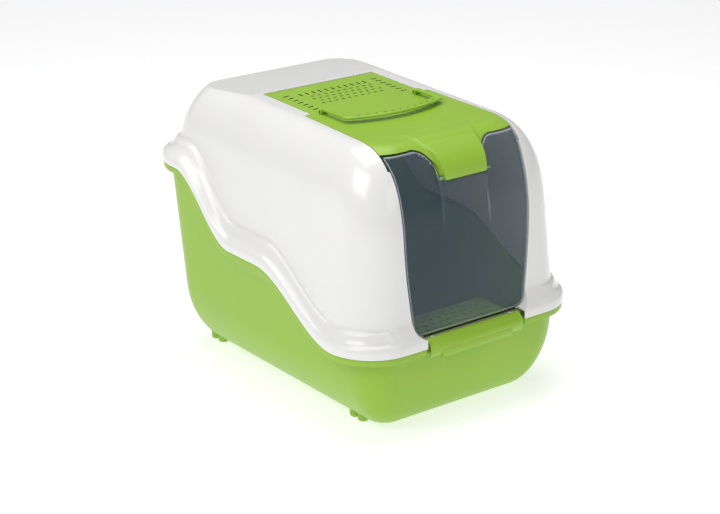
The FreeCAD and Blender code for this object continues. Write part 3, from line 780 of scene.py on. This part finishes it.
def makeTray():
    t = np.arange(hoodShape["turns"]) / hoodShape["turns"]
    _, ry = rimPlan(t)
    share = trayShape["bottomShare"]
    curve = [share * (1 - math.cos(a)) for a in np.linspace(0, math.pi / 2, 16)]
    sideOn = smooth((ry + 75) / 40) * (1 - smooth((ry - 60) / 40)) * (np.abs(rimPlan(t)[0]) > 200)

    def outerWall():
        rows = [trayRow(t, s, 0.0) for s in curve]
        end = trayShare(t, -40.0)
        for q in np.linspace(0, 1, 9)[1:]:
            rows.append(trayRow(t, share + (end - share) * q, 0.0))
        for h, out in ((-34, 0.0), (-31.5, 1.4), (-24, 1.4), (-21.5, 2.8), (-13, 2.8), (-5, 2.8)):
            rows.append(trayRow(t, trayShare(t, h), out * sideOn))
            rows[-1][:, 2] = rimLevel(ry) + h
        return rows

    def innerWall():
        wall = trayShape["wall"]
        rows = [trayRow(t, s, -wall) for s in curve]
        end = trayShare(t, -1.5)
        for q in np.linspace(0, 1, 14)[1:]:
            rows.append(trayRow(t, share + (end - share) * q, -wall))
        return rows

    bead = 8.0 * (1 - frontCentre(t, 112.0, 4.0))
    lip = [
        trayRim(t, -2, -3.2, 0.93), trayRim(t, -4.4, -3.4), trayRim(t, -4.4, -11.0),
        trayRim(t, -3.6, -12.0), trayRim(t, -2.4, -11.6), trayRim(t, -2.0, -10.4), trayRim(t, -2.0, -2.2),
        trayRim(t, -2.4, -0.9), trayRim(t, -3.4, -0.4), trayRim(t, -6.0, -0.4),
        trayRim(t, -6.0, -0.4 + bead), trayRim(t, -7.2, 0.2 + bead), trayRim(t, -8.4, -0.4 + bead),
        trayRim(t, -8.4, -0.4), trayRim(t, -2, -0.4, 0.97),
    ]
    shares = (0.95, 0.85, 0.7, 0.5, 0.3, 0.12)

    def floorRows(edge):
        rows = []
        for f in shares:
            row = edge.copy()
            row[:, :2] *= f
            rows.append(row)
        return rows

    outer, inner = outerWall(), innerWall()
    under, top = floorRows(outer[0]), floorRows(inner[0])
    poles = [np.array([[0, 0, rows[0, 2]]]) for rows in (outer[0], inner[0])]
    rows = [poles[0]] + under[::-1] + outer + lip + inner[::-1] + top + [poles[1]]
    tray = loopShell("litterTray", rows)
    return joined(tray, makeFeet())


def makeFeet():
    # four moulded feet, each with two lobes and a notch between them
    feet = []
    r = trayShape["footRadius"]
    profile = ((0.70, 0.0), (0.84, 0.5), (0.92, 2.2), (0.96, 6.0), (1.0, 12.0), (1.0, trayShape["footTop"]))
    turns = np.arange(28) * 2 * math.pi / 28
    for y in trayShape["footY"]:
        for side in (-1, 1):
            for lobe in (-1, 1):
                cy = y + lobe * trayShape["footSpread"]
                rings = []
                for share, z in profile:
                    x = side * trayShape["footX"] + share * r * np.cos(turns)
                    rings.append(np.stack([x, cy + share * r * np.sin(turns), z + 0 * turns], axis=1))
                feet.append(loopShell("foot", rings, closed=False))
    return feet


# lid
lidShape = {
    "rear": 119.0, "step": -24.0, "narrow": 119.0, "wide": 133.0, "front": 140.0, "gap": 1.5, "wall": 2.4,
    "tongueHalf": 45.0, "tongueBottom": 427.5, "tongueFront": -289.0, "tongueStart": -193.0, "barrel": 3.0,
    "castY": -180.0, "castZ": 400.0, "ovalPower": 2.15, "footTurn": 79.5, "doorPin": 2.2, "hingePin": 2.0,
}


def tongueOutline(gap):
    # right-hand half of the lid's front outline, from the tongue's lower corner up and out
    half, low, high = lidShape["tongueHalf"], lidShape["tongueBottom"], doorShape["top"] + 2.5 - gap
    knots = [
        (half + gap, low - gap), (half + 1 + gap, low - gap + 5), (half + 2.4 + gap, low - gap + 19),
        (half + 9 + gap, low + 31 - gap * 0.6), (half + 20 + gap * 0.6, low + 42 - gap),
        (half + 35, high), (half + 50, high),
    ]
    return catmull(knots, 8)


def lidFrontRegion(gap):
    side = tongueOutline(gap) + [(250, doorShape["top"] + 2.5 - gap), (250, 620)]
    return prism("lidFront", side + [(-x, z) for x, z in reversed(side)], -420, 300, "Y")


def makeLid():
    across = np.concatenate([
        np.linspace(0, 36, 13), np.linspace(38, 56, 19), np.linspace(58, 82, 13), np.linspace(86, 147, 20),
    ])
    xs = np.concatenate([-across[:0:-1], across])
    y0, z0 = lidShape["castY"], lidShape["castZ"]
    alongRoof = np.linspace(hingeLine()[0], y0, 46)
    angles = np.radians(np.linspace(0, lidShape["footTurn"], 66))[1:]
    start, way = [], []
    for y in alongRoof:
        for x in xs:
            start.append((x, y, z0))
            way.append((0, 0, 1))
    for a in angles:
        for x in xs:
            start.append((x, y0, z0))
            way.append((0, -math.sin(a), math.cos(a)))
    start, way = np.array(start, float), np.array(way, float)
    reach = castToHood(start, way, 200)
    shape = (len(alongRoof) + len(angles), len(xs))
    reach = reach.reshape(shape)
    proud = np.zeros(shape)
    a = lidShape["tongueStart"] - lidShape["tongueFront"]
    b = roofLevel(lidShape["tongueStart"]) - lidShape["tongueBottom"]
    power = lidShape["ovalPower"]
    for i, angle in enumerate(angles):
        # distance to the oval about (tongueStart, tongueBottom)
        dy, dz = -math.sin(angle), math.cos(angle)
        oy, oz = y0 - lidShape["tongueStart"], z0 - lidShape["tongueBottom"]
        lo, hi = 0.0, 250.0
        for _ in range(40):
            m = (lo + hi) / 2
            py, pz = min(oy + dy * m, 0.0), max(oz + dz * m, 0.0)
            inside = (abs(py) / a) ** power + (pz / b) ** power < 1 and oy + dy * m > -a
            lo, hi = (m, hi) if inside else (lo, m)
        share = angle / angles[-1]
        crease = 44 + 34 * (1 - share) ** 1.3
        soft = 2.5 + 7 * (1 - share) ** 2
        ridge = 1.1 * smooth(share * 4) * (1 - smooth((share - 0.4) / 0.4))
        weight = 1 - smooth((np.abs(xs) - crease + soft) / (soft + 0.8))
        row = i + len(alongRoof)
        proud[row] = np.maximum(lo - reach[row], ridge) * weight
    reach = (reach + proud).reshape(-1)
    top = (start + way * reach[:, None]).reshape(shape + (3,))
    under = (start + way * (reach - lidShape["wall"])[:, None]).reshape(shape + (3,))
    lid = sheet("ventedLid", top, under)
    carve(lid, [lidFrontRegion(0.0), lidCutter(0.0, 300)], "INTERSECT")
    carve(lid, ventPunches())
    bevel(lid, 0.5, 50)
    # painted shade: the upright walls of the vent slots are marked to take the near-black gap colour, in
    # place of the shade inside the slots
    shaded = []
    for face in lid.data.polygons:
        x, y = face.center.xy / mm
        inVents = abs(x) < lidShape["narrow"] - 3 and ventShape["front"] - 8 < y < ventShape["rear"] + 6
        shaded.append(1.0 if inVents and abs(face.normal.z) < 0.3 else 0.0)
    mark(lid, "shaded", "FACE", shaded)
    return joined(lid, lidFittings())


ventShape = {
    "length": 13.0, "width": 3.4, "slant": 10.0, "pitch": 14.0, "half": 70.0, "side": 96.0, "rear": 84.0,
    "front": -3.0, "sideSlots": 7, "rows": 4, "rowPitch": 14.0, "small": 6.5, "depth": 16.0, "level": 486.0,
}


def ventPunches():
    z = ventShape["level"]
    count = int(ventShape["half"] // ventShape["pitch"])
    depth = ventShape["depth"]
    sidePitch = (ventShape["rear"] - ventShape["front"]) / (ventShape["sideSlots"] - 1)
    middle = (ventShape["rear"] + ventShape["front"]) / 2
    sets = [punchRows("rearSlots", {
        "Columns": 2 * count + 1, "Rows": 1, "Pitch Across": ventShape["pitch"], "Pitch Along": 10,
        "Length": ventShape["length"], "Width": ventShape["width"], "Turn": 90, "Depth": depth,
        "Centre": (0, ventShape["rear"] - ventShape["length"] / 2, z + 5),
    })]
    for side in (-1, 1):
        sets.append(punchRows("sideSlots", {
            "Columns": 2, "Rows": ventShape["sideSlots"], "Pitch Across": 400, "Pitch Along": sidePitch,
            "Length": ventShape["length"], "Width": ventShape["width"], "Depth": depth,
            "Turn": -side * ventShape["slant"],
            "Centre": (side * (ventShape["side"] + 200), middle, z + 4),
        }))
    inner = ventShape["rear"] - ventShape["length"] + ventShape["width"]
    inner -= ventShape["rowPitch"] * (ventShape["rows"] + 1) / 2
    sets.append(punchRows("innerSlots", {
        "Columns": 2 * count, "Rows": ventShape["rows"], "Pitch Across": ventShape["pitch"],
        "Pitch Along": ventShape["rowPitch"], "Stagger": ventShape["pitch"] / 2,
        "Length": ventShape["small"], "Width": ventShape["width"], "Depth": depth,
        "Centre": (0, inner, z + 5),
    }))
    return sets


def lidFittings():
    y, z = hingeLine()
    parts = [rod("lidBarrel", lidShape["barrel"], y, z, -lidShape["narrow"], lidShape["narrow"])]
    reach = lidShape["narrow"] + 9.5
    parts.append(rod("lidPins", lidShape["hingePin"], y, z, -reach, reach, 24))
    half, wall = lidShape["tongueHalf"], lidShape["wall"]
    back = lidShape["tongueFront"] + 22
    cheek = []
    a = lidShape["tongueStart"] - lidShape["tongueFront"]
    b = roofLevel(lidShape["tongueStart"]) - lidShape["tongueBottom"]
    for q in np.radians(np.linspace(0, 62, 18)):
        y = lidShape["tongueStart"] - (a - 1.2) * math.cos(q) ** 0.93
        z = lidShape["tongueBottom"] + (b - 1.2) * math.sin(q) ** 0.93
        cheek.append((y, z))
    cheek.append((back, lidShape["tongueBottom"]))
    parts += mirrored(lambda: prism("cheek", cheek, half - wall, half - 0.1, "X"))
    axisY, axisZ = doorShape["axisY"], doorShape["axisZ"]
    parts += mirrored(lambda: rod("doorPin", lidShape["doorPin"], axisY, axisZ, half - wall - 2, 52.5, 28))
    py, pz = handleShape["pivotY"], roofLevel(handleShape["pivotY"]) + handleShape["pinRise"]
    for x in (handleShape["pivotX"] - 7.2, handleShape["pivotX"] + 4.7):
        lug = [(py - 4, pz - 6), (py + 4, pz - 6)]
        lug += [(py + 4 * math.cos(q), pz + 4 * math.sin(q)) for q in np.linspace(0, math.pi, 15)]
        parts += mirrored(lambda: prism("lug", lug, x, x + 2.5, "X"))
    return [bevel(p, 0.35) for p in parts]


# handle
handleShape = {
    "half": 105.5, "corner": 9.0, "pivotX": 102.0, "pivotY": -32.0, "cornerY": -101.5, "bow": 21.5,
    "bar": 15.0, "arm": 9.0, "thick": 5.0, "top": 500.0, "slots": 11, "slotBow": 11.6,
    "slotLength": 6.3, "slotWidth": 3.2, "slotSetback": 1.7, "slotMargin": 25.5, "barrel": 4.0, "pin": 1.8,
    "pinRise": 4.7,
}


def handleEdge(inset, armInset, steps=60):
    # one edge of the bail: arm, bend, bow, bend, arm
    x = handleShape["half"] - armInset
    side = handleShape["cornerY"] + inset
    corner = handleShape["corner"]
    pivot = handleShape["pivotY"]
    points = [(-x, pivot + (side + corner - pivot) * q) for q in np.linspace(0, 1, 9)]
    for q in np.linspace(0, 1, 9)[1:]:
        a, b, c = np.array([-x, side + corner]), np.array([-x, side - 1]), np.array([-x + corner, side - 3])
        points.append(tuple((1 - q) ** 2 * a + 2 * q * (1 - q) * b + q * q * c))
    for q in np.linspace(0, 1, steps)[1:]:
        bx = (-x + corner) * (1 - 2 * q)
        points.append((bx, side - 3 - (handleShape["bow"] - 3) * (1 - (bx / (x - corner)) ** 2)))
    half = len(points) - (steps - 1)
    return points + [(-px, py) for px, py in reversed(points[:half - 1])]


def makeHandle():
    outer = handleEdge(0.0, 0.0)
    inner = handleEdge(handleShape["bar"], handleShape["arm"])
    low, high = handleShape["top"] - handleShape["thick"], handleShape["top"]
    ring = [
        (0.0, 0.28), (0.0, 0.62), (0.05, 0.86), (0.16, 1.0), (0.5, 1.0), (0.84, 0.96), (0.95, 0.82),
        (1.0, 0.6), (1.0, 0.25), (0.93, 0.05), (0.82, 0.0), (0.18, 0.0), (0.07, 0.06),
    ]
    rows = []
    for (ox, oy), (ix, iy) in zip(outer, inner):
        rows.append(np.array([
            (ox + (ix - ox) * w, oy + (iy - oy) * w, low + (high - low) * q) for w, q in ring
        ]))
    bail = loopShell("bailHandle", rows, closed=False)
    span = 2 * (handleShape["half"] - handleShape["slotMargin"])
    carve(bail, [punchRows("gripSlots", {
        "Columns": handleShape["slots"], "Rows": 1, "Pitch Along": 10,
        "Pitch Across": span / (handleShape["slots"] - 1), "Bow": handleShape["slotBow"],
        "Length": handleShape["slotLength"], "Width": handleShape["slotWidth"], "Depth": 20,
        "Centre": (0, handleShape["cornerY"] - handleShape["slotSetback"], handleShape["top"]),
    })])
    py, pz = handleShape["pivotY"], roofLevel(handleShape["pivotY"]) + handleShape["pinRise"]
    px = handleShape["pivotX"]
    parts = []
    for shape in (
        lambda: rod("eye", handleShape["barrel"], py, pz, px - 4.2, px + 3.6),
        lambda: rod("pin", handleShape["pin"], py, pz, px - 7.2, px + 7.2, 20),
    ):
        parts += mirrored(shape)
    return joined(bail, parts)


# door
doorShape = {
    "bottom": 176.0, "top": 472.5, "wall": 2.0, "corner": 18.0, "gap": 3.0, "flange": 5.0,
    "edgeHeights": (176.0, 248.6, 317.7, 386.8, 472.5), "edgeHalves": (118.0, 126.5, 132.0, 133.0, 138.0),
    "bandHalf": 49.3, "bandSoft": 4.5, "bandFoot": 296.0, "axisY": -284.5, "axisZ": 431.0, "knuckle": 4.2,
    "creaseShine": (0.2, 0.7),
}


def makeDoor():
    heights = np.concatenate([
        doorShape["bottom"] + np.array([0, 0.5, 1.2, 2.2, 3.0, 4.2, 6.5, 9.5, 13.5, 18.0]),
        np.linspace(doorShape["bottom"] + 22, doorShape["bandFoot"], 26),
        np.linspace(doorShape["bandFoot"] + 4, doorShape["top"], 46),
    ])
    near = np.array([0, 0.6, 1.3, 2.1, 2.7, 3.4, 5, 8, 12]) / 72
    outer = np.concatenate([np.linspace(0, 1 - 16 / 72, 14), 1 - near[::-1]])
    middle = np.concatenate([np.linspace(0, 40, 14), np.linspace(41, 54, 27)])
    rowsTop, rowsUnder = [], []
    for z in heights:
        half = doorHalf(z)
        x = np.concatenate([middle, 55 + (half - 55) * outer])
        xs = np.concatenate([-x[:0:-1], x])
        start = np.stack([xs, np.full(len(xs), -150.0), np.full(len(xs), z)], axis=1)
        y = -150.0 - castToHood(start, np.array([[0, -1.0, 0]] * len(xs)), 200)
        footY = rim["front"] + 28.5
        headY = lidShape["tongueFront"] + 0.3
        line = np.interp(z, (doorShape["bandFoot"], lidShape["tongueBottom"]), (footY, headY))
        bulge = max(0.0, y[len(xs) // 2] - line) if z > doorShape["bandFoot"] else 0.0
        bulge *= smooth((z - doorShape["bandFoot"]) / 40)
        band = smooth((doorShape["bandHalf"] + 0.5 - np.abs(xs)) / doorShape["bandSoft"])
        y = y + 0.2 - bulge * band
        sideFlange = smooth((np.abs(xs) - (half - 2.6)) / 0.8)
        footFlange = smooth((doorShape["bottom"] + 2.8 - z) / 0.8)
        depth = doorShape["wall"] + doorShape["flange"] * np.maximum(sideFlange, footFlange)
        # the band's two side walls are as thick as the rest
        slope = np.abs(np.gradient(bulge * band, xs))
        thick = np.minimum(doorShape["wall"] * np.sqrt(1 + slope ** 2), bulge + doorShape["wall"])
        depth = np.maximum(depth, thick)
        rowsTop.append(np.stack([xs, y, np.full(len(xs), z)], axis=1))
        rowsUnder.append(np.stack([xs, y + depth, np.full(len(xs), z)], axis=1))
    door = sheet("smokedDoor", np.array(rowsTop), np.array(rowsUnder))
    carve(door, [lidFrontRegion(doorShape["gap"])])
    # painted highlight: the door's front-facing border and the band's crease lines are marked "edge" for the
    # material to brighten; creaseShine makes the right crease brighter than the left
    outline = np.array(tongueOutline(doorShape["gap"]))
    amounts = []
    for point in door.data.vertices:
        x, y, z = point.co / mm
        x = abs(x)
        half = doorHalf(z)
        away = min(half - x, z - doorShape["bottom"], np.hypot(outline[:, 0] - x, outline[:, 1] - z).min())
        if x > outline[-1, 0]:
            away = min(away, outline[-1, 1] - z)
        crease = 1 - smooth(abs(x - doorShape["bandHalf"] + 0.6) / 1.6)
        crease *= smooth((z - doorShape["bandFoot"] - 20) / 60)
        crease *= doorShape["creaseShine"][0 if point.co.x < 0 else 1]
        amounts.append(max(1.0 if away < 1.0 and point.normal.y < -0.3 else 0.0, crease))
    return mark(door, "edge", "POINT", amounts)


def makeKnuckles():
    y, z = doorShape["axisY"], doorShape["axisZ"]
    parts = mirrored(lambda: rod("knuckle", doorShape["knuckle"], y, z, 46.9, 51.5))
    parts += mirrored(lambda: block("ear", 46.9, 49.3, y - 3.5, y + 14, z - 12, z + 3.5))
    return joined(parts[0], parts[1:])


# latch
latchShape = {
    "half": 101.0, "axisY": -310.5, "axisZ": 167.5, "barrel": 3.5, "grip": 76.0, "ear": 82.0, "pin": 2.0,
}


def makeLatch():
    f, level = rim["front"], rim["levels"][0]
    y, z = latchShape["axisY"], latchShape["axisZ"]
    outer = catmull([
        (y, z + latchShape["barrel"]), (y - 5, z + 2.2), (y - 9.5, z - 1.6),
        (f - 0.6, level + 1.0), (f - 2, level - 6), (f - 0.5, level - 13), (f + 2.8, level - 18.5),
    ], 6)
    inner = catmull([
        (y, z + 0.6), (y - 6.6, z - 3.6), (f + 2.0, level),
        (f + 0.6, level - 6), (f + 2.1, level - 13), (f + 5.2, level - 17.6),
    ], 6)
    cover = prism("frontLatchCover", outer + inner[::-1], -latchShape["half"], latchShape["half"], "X")
    bevel(cover, 0.8, 50, 3)
    grip = prism("grip", [
        (f + 1.2, level - 7), (f - 2.1, level - 7.5), (f - 2.7, level - 12), (f - 2.6, level - 17),
        (f - 1.6, level - 20.5), (f + 0.4, level - 22.2), (f + 3.6, level - 19.0),
    ], -latchShape["grip"], latchShape["grip"], "X")
    bevel(grip, 0.9, 30, 3)
    parts = [grip]
    half, ear = latchShape["half"], latchShape["ear"]
    for x0, x1 in ((-half, -ear - 6.8), (-ear + 0.8, ear - 0.8), (ear + 6.8, half)):
        parts.append(bevel(rod("latchBarrel", latchShape["barrel"], y, z, x0, x1), 0.5))
    parts.append(rod("latchPin", latchShape["pin"], y, z, -half + 2, half - 2, 20))
    for x in (-60.0, -20.0, 20.0, 60.0):
        parts.append(prism("rib", [
            (f + 0.5, level - 4), (f + 4.5, level - 2), (y - 3, z - 2), (y - 8, z - 3),
        ], x - 0.9, x + 0.9, "X"))
    return joined(cover, parts)


# step grate
grateShape = {
    "half": 108.0, "front": -291.1, "depth": 86.0, "top": 160.0, "thick": 3.0, "skirt": 10.0,
    "hole": 7.6, "pitch": 17.0, "rows": 5, "foot": 10.8, "corner": 8.0,
}


def makeGrate():
    y0, y1 = grateShape["front"], grateShape["front"] + grateShape["depth"]
    r = grateShape["corner"]
    outline = []
    side = grateShape["half"] - r
    for cx, cy, start in ((side, y0 + r, -90), (side, y1 - r, 0), (-side, y1 - r, 90), (-side, y0 + r, 180)):
        for q in np.radians(start + np.linspace(0, 90, 9)):
            outline.append((cx + r * math.cos(q), cy + r * math.sin(q)))
    plate = prism("stepGrate", outline, grateShape["top"] - grateShape["skirt"], grateShape["top"], "Z")
    centre = (y0 + y1) / 2
    across, deep = 1 - 2 / grateShape["half"], 1 - 4 / grateShape["depth"]
    inner = [(x * across, (y - centre) * deep + centre) for x, y in outline]
    carve(plate, [prism("hollow", inner, 100, grateShape["top"] - grateShape["thick"], "Z")])
    count = int((grateShape["half"] - 12) // grateShape["pitch"])
    along = (grateShape["depth"] - 18) / (grateShape["rows"] - 1)
    for first, columns in ((0, 2 * count + 1), (1, 2 * count)):
        rows = (grateShape["rows"] + 1 - first) // 2
        middle = y0 + 9 + first * along + (rows - 1) * along
        carve(plate, [punchRows("drainHoles", {
            "Columns": columns, "Rows": rows, "Pitch Across": grateShape["pitch"], "Pitch Along": 2 * along,
            "Length": grateShape["hole"], "Width": grateShape["hole"] - 0.01, "Depth": 20,
            "Centre": (0, middle, grateShape["top"]),
        })])
    bevel(plate, 0.7, 45)
    high, low = grateShape["top"] - 2, grateShape["foot"]
    panel = [(y0 + 2, high), (y1 - 2, high), (y1 - 8, low), (y0 + 40, low)]
    sides = mirrored(lambda: prism("panel", panel, grateShape["half"] - 6, grateShape["half"] - 3.6, "X"))
    return joined(plate, [bevel(s, 0.4) for s in sides])


print("stage: shells")
hood = joined(makeHood(), makeHoodFittings())
shade(hood, 32)
finishPiece(hood, whitePlastic, "hood", "hood")
tray = shade(makeTray(), 32)
finishPiece(tray, greenPlastic, "tray", "tray")

print("stage: lid, handle, door, latch, grate")
lid = shade(makeLid(), 32)
finishPiece(lid, greenPlastic, "top_lid", "top_lid")
handle = shade(makeHandle(), 40)
finishPiece(handle, greenPlastic, "carry_handle", "carry_handle")
door = shade(makeDoor(), 35)
finishPiece(door, smoked, "swing_door", "swing_door")
knuckles = shade(makeKnuckles(), 35)
knuckles.name = "doorKnuckles"
finishPiece(knuckles, smoked, "swing_door", "swing_door")
latch = shade(makeLatch(), 35)
finishPiece(latch, greenPlastic, "front_latch", "front_latch")
grate = shade(makeGrate(), 35)
finishPiece(grate, greenPlastic, "step_grate", "step_grate")

for node, material in (("filter_frame", blackFrame), ("carbon_filter", foam)):
    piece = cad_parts[node]
    piece.data.materials.clear()
    piece.data.materials.append(material)


# studio
def makeStudio():
    bpy.ops.mesh.primitive_plane_add(size=40, location=(0, 0, 0))
    floor = bpy.context.object
    floor.name = "studioFloor"
    floor.data.materials.append(paleFloor())
    world = bpy.data.worlds.new("paleRoom")
    bpy.context.scene.world = world
    world.use_nodes = True
    world.node_tree.nodes["Background"].inputs[0].default_value = (1, 1, 1, 1)
    world.node_tree.nodes["Background"].inputs[1].default_value = 0.28
    for name, place, size, power in (
        ("keyLeft", (-2.2, -0.6, 2.2), (1.9, 1.6), 32), ("topSoft", (0.1, 0.3, 2.9), (2.2, 2.2), 44),
        ("frontFill", (0.6, -3.0, 1.4), (1.6, 1.2), 7),
    ):
        lamp = bpy.data.lights.new(name, "AREA")
        lamp.shape = "RECTANGLE"
        lamp.size, lamp.size_y = size
        lamp.energy = power
        light = bpy.data.objects.new(name, lamp)
        light.location = place
        aim = Vector((0, 0, 0.25)) - Vector(place)
        light.rotation_euler = aim.to_track_quat("-Z", "Y").to_euler()
        bpy.context.collection.objects.link(light)


def makeCamera():
    camera = bpy.data.objects.new("camera", bpy.data.cameras.new("camera"))
    bpy.context.collection.objects.link(camera)
    camera.data.lens = 95.5
    camera.data.sensor_width = 36
    camera.data.clip_end = 100
    camera.location = Vector((-1943.5, -2536.3, 1410.6)) * mm
    azimuth, elevation = math.radians(-37.48), math.radians(20.79)
    camera.rotation_euler = (math.pi / 2 - elevation, 0, azimuth)
    bpy.context.scene.camera = camera


print("stage: studio")
makeStudio()
makeCamera()
bpy.context.scene.view_settings.view_transform = "Standard"
